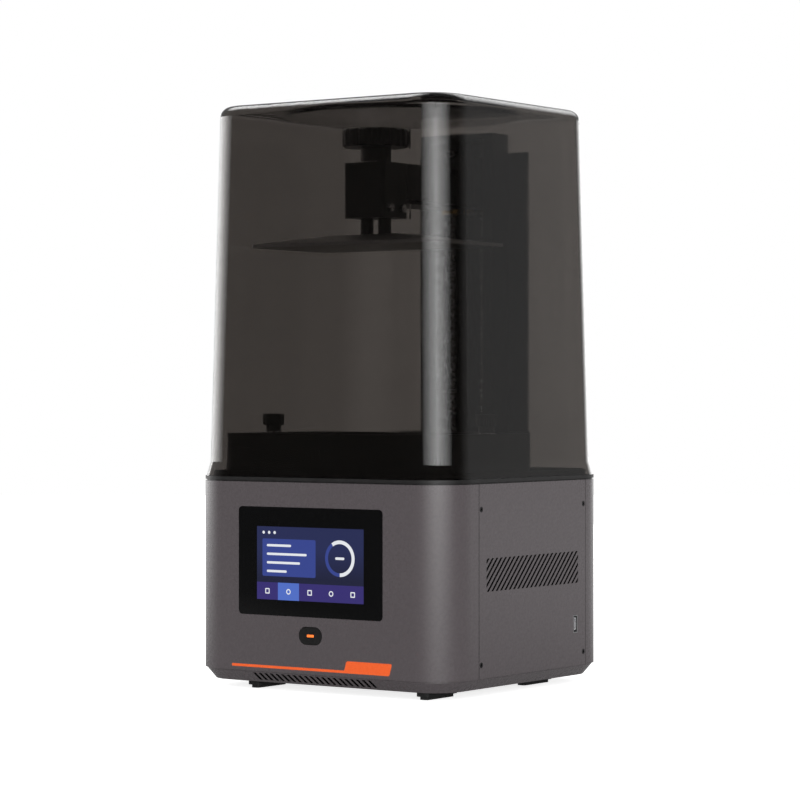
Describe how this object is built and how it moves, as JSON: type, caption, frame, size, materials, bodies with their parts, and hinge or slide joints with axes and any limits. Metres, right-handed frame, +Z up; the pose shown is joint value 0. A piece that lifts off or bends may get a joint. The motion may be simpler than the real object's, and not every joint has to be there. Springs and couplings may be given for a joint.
{
  "type": "resin printer",
  "caption": "Desktop resin printer: grey base with a touchscreen, black deck with vat and lift column, and a tapered smoked cover that lifts off.",
  "frame": {"origin": "under the middle of the case, on the plane that the feet stand on", "axes": "+Z up, -Y towards the front with the touchscreen, +X to the right seen from the front"},
  "size_m": [0.23, 0.218, 0.427],
  "materials": {
    "grey_paint": "satin paint",
    "foot_rubber": "matte",
    "deck_black": "satin",
    "smoked_plastic": "clear, tinted, polished",
    "screen_black": "polished",
    "display": "lit display",
    "circuit_board": "solder mask",
    "chip_black": "moulded",
    "button_black": "satin",
    "button_orange": "lit",
    "vat_black": "black anodised",
    "clear_film": "clear",
    "clamp_black": "black anodised",
    "column_black": "fine texture paint",
    "plate_aluminium": "blasted",
    "bare_aluminium": "machined",
    "bare_steel": "ground",
    "nut_brass": "turned",
    "motor_black": "matte",
    "hood_black": "matte",
    "lens_clear": "clear",
    "exposure_black": "polished"
  },
  "bodies": {
    "base": {"rubber_feet": "foot_rubber", "bottom_pan": "grey_paint", "front_shell": "grey_paint", "rear_shell": "grey_paint", "right_side_panel": "grey_paint", "left_side_panel": "grey_paint", "panel_screws": "bare_steel", "deck_plate": "deck_black", "screen_glass": "screen_black", "touch_display": "display", "display_board": "circuit_board", "button_board": "circuit_board", "exposure_screen": "exposure_black", "exposure_glass": "exposure_black", "light_hood": "hood_black", "lamp_board": "bare_aluminium", "lamp_lenses": "lens_clear", "heat_sink": "bare_aluminium", "fan_frame": "chip_black", "column_channel": "column_black", "column_cap": "column_black", "column_back_plate": "column_black", "column_foot": "column_black", "guide_rails": "bare_steel", "lift_motor": "motor_black", "limit_sensor": "chip_black", "mainboard": "circuit_board", "mainboard_parts": "chip_black", "mainboard_bracket": "bare_steel", "usb_socket": "bare_steel", "power_inlet": "chip_black"},
    "cover": {"cover": "smoked_plastic"},
    "z_stage": {"z_carriage": "clamp_black", "rail_blocks": "bare_steel", "lead_nut": "nut_brass", "platform_arm": "clamp_black"},
    "lead_screw": {"lead_screw": "bare_steel"},
    "platform": {"platform_head": "clamp_black", "levelling_block": "clamp_black", "levelling_screws": "bare_steel", "platform_posts": "clamp_black", "build_plate": "plate_aluminium"},
    "knob_washer": {"knob_washer": "bare_steel"},
    "knob": {"platform_knob": "clamp_black", "knob_screw": "bare_steel"},
    "vat": {"vat": "vat_black", "film_frame": "bare_steel", "vat_film": "clear_film"},
    "right_thumb_washer": {"right_thumb_washer": "bare_steel"},
    "right_thumb_screw": {"right_thumb_screw": "clamp_black"},
    "left_thumb_washer": {"left_thumb_washer": "bare_steel"},
    "left_thumb_screw": {"left_thumb_screw": "clamp_black"},
    "button": {"power_button": "button_black", "button_light": "button_orange"},
    "fan": {"fan_rotor": "chip_black"}
  },
  "joints": [
    {"name": "cover_lift", "type": "slide", "parent": "base", "child": "cover", "axis": [0, 0, 1], "range_m": [0, 0.3]},
    {"name": "z_axis", "type": "slide", "parent": "base", "child": "z_stage", "axis": [0, 0, 1], "range_m": [-0.1675, 0]},
    {"name": "lead_screw_turn", "type": "hinge", "parent": "base", "child": "lead_screw", "pos_m": [0, 0.077, 0.26], "axis": [0, 0, 1], "range_deg": [0, 15080]},
    {"name": "platform_slide", "type": "slide", "parent": "z_stage", "child": "platform", "axis": [0, -1, 0], "range_m": [0, 0.018]},
    {"name": "knob_rise", "type": "slide", "parent": "platform", "child": "knob_washer", "axis": [0, 0, 1], "range_m": [0, 0.005]},
    {"name": "knob_turn", "type": "hinge", "parent": "knob_washer", "child": "knob", "pos_m": [0, -0.031, 0.39], "axis": [0, 0, 1], "range_deg": [0, 1440]},
    {"name": "vat_lift", "type": "slide", "parent": "base", "child": "vat", "axis": [0, 0, 1], "range_m": [0, 0.12]},
    {"name": "power_button", "type": "slide", "parent": "base", "child": "button", "axis": [0, 1, 0], "range_m": [0, 0.001], "stiffness_N_per_m": 800},
    {"name": "fan_spin", "type": "hinge", "parent": "base", "child": "fan", "pos_m": [0, -0.031, 0.045], "axis": [0, 0, 1], "continuous": true},
    {"name": "right_thumb_rise", "type": "slide", "parent": "vat", "child": "right_thumb_washer", "axis": [0, 0, 1], "range_m": [0, 0.0064]},
    {"name": "right_thumb_turn", "type": "hinge", "parent": "right_thumb_washer", "child": "right_thumb_screw", "pos_m": [0.095, -0.031, 0.19], "axis": [0, 0, 1], "range_deg": [0, 2880]},
    {"name": "left_thumb_rise", "type": "slide", "parent": "vat", "child": "left_thumb_washer", "axis": [0, 0, 1], "range_m": [0, 0.0064]},
    {"name": "left_thumb_turn", "type": "hinge", "parent": "left_thumb_washer", "child": "left_thumb_screw", "pos_m": [-0.095, -0.031, 0.19], "axis": [0, 0, 1], "range_deg": [0, 2880]}
  ],
  "couplings": [
    {"joint": "lead_screw_turn", "follows": "z_axis", "rad_per_m": -1570.8},
    {"joint": "knob_rise", "follows": "knob_turn", "m_per_rad": 0.00019894},
    {"joint": "right_thumb_rise", "follows": "right_thumb_turn", "m_per_rad": 0.00012732},
    {"joint": "left_thumb_rise", "follows": "left_thumb_turn", "m_per_rad": 0.00012732}
  ]
}
